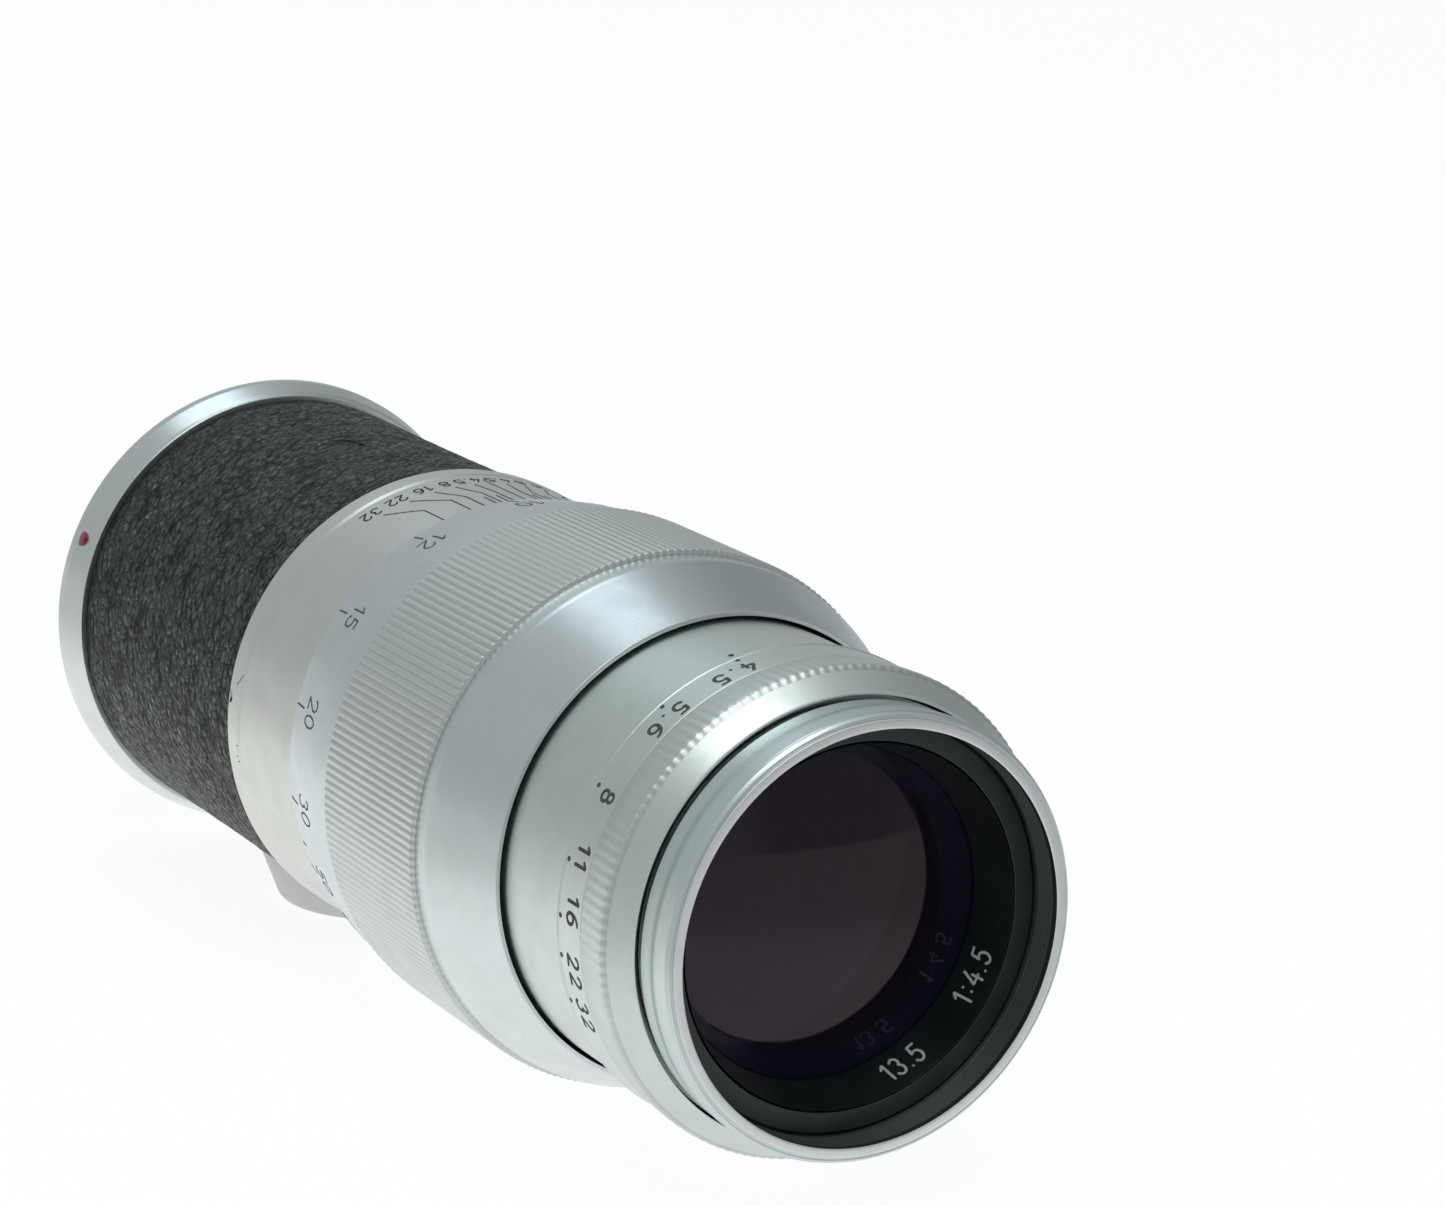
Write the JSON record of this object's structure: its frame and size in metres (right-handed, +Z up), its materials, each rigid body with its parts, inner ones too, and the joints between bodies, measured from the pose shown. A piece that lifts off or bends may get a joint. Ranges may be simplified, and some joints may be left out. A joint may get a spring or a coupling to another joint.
{
  "type": "long-focus camera lens",
  "caption": "Chromed long-focus camera lens with ribbed focusing and aperture rings, a leather-covered barrel, a tripod foot and a rear bayonet.",
  "frame": {"origin": "centre of the bayonet's bearing face, on the optical axis", "axes": "+Y along the optical axis towards the camera, +Z up through the focusing index, the tripod foot points to -Z"},
  "size_m": [0.054, 0.1406, 0.0542],
  "materials": {
    "satin_chrome": "fine satin chrome plate, slightly warm",
    "leather": "black pebbled leatherette, dull sheen",
    "black_anodised": "satin black",
    "brass": "turned brass, greased",
    "steel": "turned steel",
    "red_enamel": "deep red gloss enamel",
    "coated_glass": "polished, purple-blue coating"
  },
  "bodies": {
    "barrel": {"bayonet_mount": "satin_chrome", "tripod_foot": "satin_chrome", "depth_scale_ring": "satin_chrome", "barrel_tube": "brass", "bearing_ring": "brass", "mount_screw_1": "steel", "mount_screw_2": "steel", "mount_screw_3": "steel", "mount_screw_4": "steel", "tripod_bush": "steel", "foot_screw_1": "steel", "foot_screw_2": "steel", "stop_pin": "steel", "guide_rail": "steel", "rail_screw": "steel", "leather_cover": "leather", "red_index_bead": "red_enamel"},
    "focusing": {"focus_ring": "satin_chrome", "focus_helicoid": "brass", "focus_ring_screw_1": "steel", "focus_ring_screw_2": "steel", "focus_ring_screw_3": "steel", "coupling_sleeve": "brass"},
    "head": {"head_barrel": "satin_chrome", "helicoid_carrier": "brass", "front_rim": "satin_chrome", "name_ring": "black_anodised", "front_cell": "black_anodised", "front_element": "coated_glass", "doublet_front": "coated_glass", "doublet_rear": "coated_glass", "doublet_retainer": "black_anodised", "iris_plate": "black_anodised", "rear_cell": "black_anodised", "rear_element": "coated_glass", "rear_retainer": "black_anodised", "light_baffle": "black_anodised"},
    "rangefinder": {"rangefinder_ring": "brass"},
    "aperture": {"aperture_ring": "satin_chrome", "iris_drive_ring": "black_anodised", "aperture_link_screw": "steel"},
    "blade_01": {"iris_blade_01": "black_anodised"},
    "blade_02": {"iris_blade_02": "black_anodised"},
    "blade_03": {"iris_blade_03": "black_anodised"},
    "blade_04": {"iris_blade_04": "black_anodised"},
    "blade_05": {"iris_blade_05": "black_anodised"},
    "blade_06": {"iris_blade_06": "black_anodised"},
    "blade_07": {"iris_blade_07": "black_anodised"},
    "blade_08": {"iris_blade_08": "black_anodised"},
    "blade_09": {"iris_blade_09": "black_anodised"},
    "blade_10": {"iris_blade_10": "black_anodised"}
  },
  "joints": [
    {"name": "focus_turn", "type": "hinge", "parent": "barrel", "child": "focusing", "pos_m": [0, -0.0848, 0], "axis": [0, 1, 0], "range_deg": [-162, 144.6]},
    {"name": "head_slide", "type": "slide", "parent": "barrel", "child": "head", "axis": [0, 1, 0], "range_m": [-0.00772, 0.00689]},
    {"name": "rangefinder_slide", "type": "slide", "parent": "barrel", "child": "rangefinder", "axis": [0, 1, 0], "range_m": [-0.00101, 0.0009]},
    {"name": "aperture_turn", "type": "hinge", "parent": "head", "child": "aperture", "pos_m": [0, -0.123, 0], "axis": [0, 1, 0], "range_deg": [0, 96.6]},
    {"name": "blade_01_turn", "type": "hinge", "parent": "head", "child": "blade_01", "pos_m": [0, -0.1048, 0.019], "axis": [0, 1, 0], "range_deg": [0, 48.4]},
    {"name": "blade_02_turn", "type": "hinge", "parent": "head", "child": "blade_02", "pos_m": [0.01117, -0.1048, 0.01537], "axis": [0, 1, 0], "range_deg": [0, 48.4]},
    {"name": "blade_03_turn", "type": "hinge", "parent": "head", "child": "blade_03", "pos_m": [0.01807, -0.1048, 0.00587], "axis": [0, 1, 0], "range_deg": [0, 48.4]},
    {"name": "blade_04_turn", "type": "hinge", "parent": "head", "child": "blade_04", "pos_m": [0.01807, -0.1048, -0.00587], "axis": [0, 1, 0], "range_deg": [0, 48.4]},
    {"name": "blade_05_turn", "type": "hinge", "parent": "head", "child": "blade_05", "pos_m": [0.01117, -0.1048, -0.01537], "axis": [0, 1, 0], "range_deg": [0, 48.4]},
    {"name": "blade_06_turn", "type": "hinge", "parent": "head", "child": "blade_06", "pos_m": [0, -0.1048, -0.019], "axis": [0, 1, 0], "range_deg": [0, 48.4]},
    {"name": "blade_07_turn", "type": "hinge", "parent": "head", "child": "blade_07", "pos_m": [-0.01117, -0.1048, -0.01537], "axis": [0, 1, 0], "range_deg": [0, 48.4]},
    {"name": "blade_08_turn", "type": "hinge", "parent": "head", "child": "blade_08", "pos_m": [-0.01807, -0.1048, -0.00587], "axis": [0, 1, 0], "range_deg": [0, 48.4]},
    {"name": "blade_09_turn", "type": "hinge", "parent": "head", "child": "blade_09", "pos_m": [-0.01807, -0.1048, 0.00587], "axis": [0, 1, 0], "range_deg": [0, 48.4]},
    {"name": "blade_10_turn", "type": "hinge", "parent": "head", "child": "blade_10", "pos_m": [-0.01117, -0.1048, 0.01537], "axis": [0, 1, 0], "range_deg": [0, 48.4]}
  ],
  "couplings": [
    {"joint": "head_slide", "follows": "focus_turn", "m_per_rad": 0.002728},
    {"joint": "rangefinder_slide", "follows": "focus_turn", "m_per_rad": 0.000355},
    {"joint": "blade_01_turn", "follows": "aperture_turn", "ratio": 0.5},
    {"joint": "blade_02_turn", "follows": "aperture_turn", "ratio": 0.5},
    {"joint": "blade_03_turn", "follows": "aperture_turn", "ratio": 0.5},
    {"joint": "blade_04_turn", "follows": "aperture_turn", "ratio": 0.5},
    {"joint": "blade_05_turn", "follows": "aperture_turn", "ratio": 0.5},
    {"joint": "blade_06_turn", "follows": "aperture_turn", "ratio": 0.5},
    {"joint": "blade_07_turn", "follows": "aperture_turn", "ratio": 0.5},
    {"joint": "blade_08_turn", "follows": "aperture_turn", "ratio": 0.5},
    {"joint": "blade_09_turn", "follows": "aperture_turn", "ratio": 0.5},
    {"joint": "blade_10_turn", "follows": "aperture_turn", "ratio": 0.5}
  ]
}
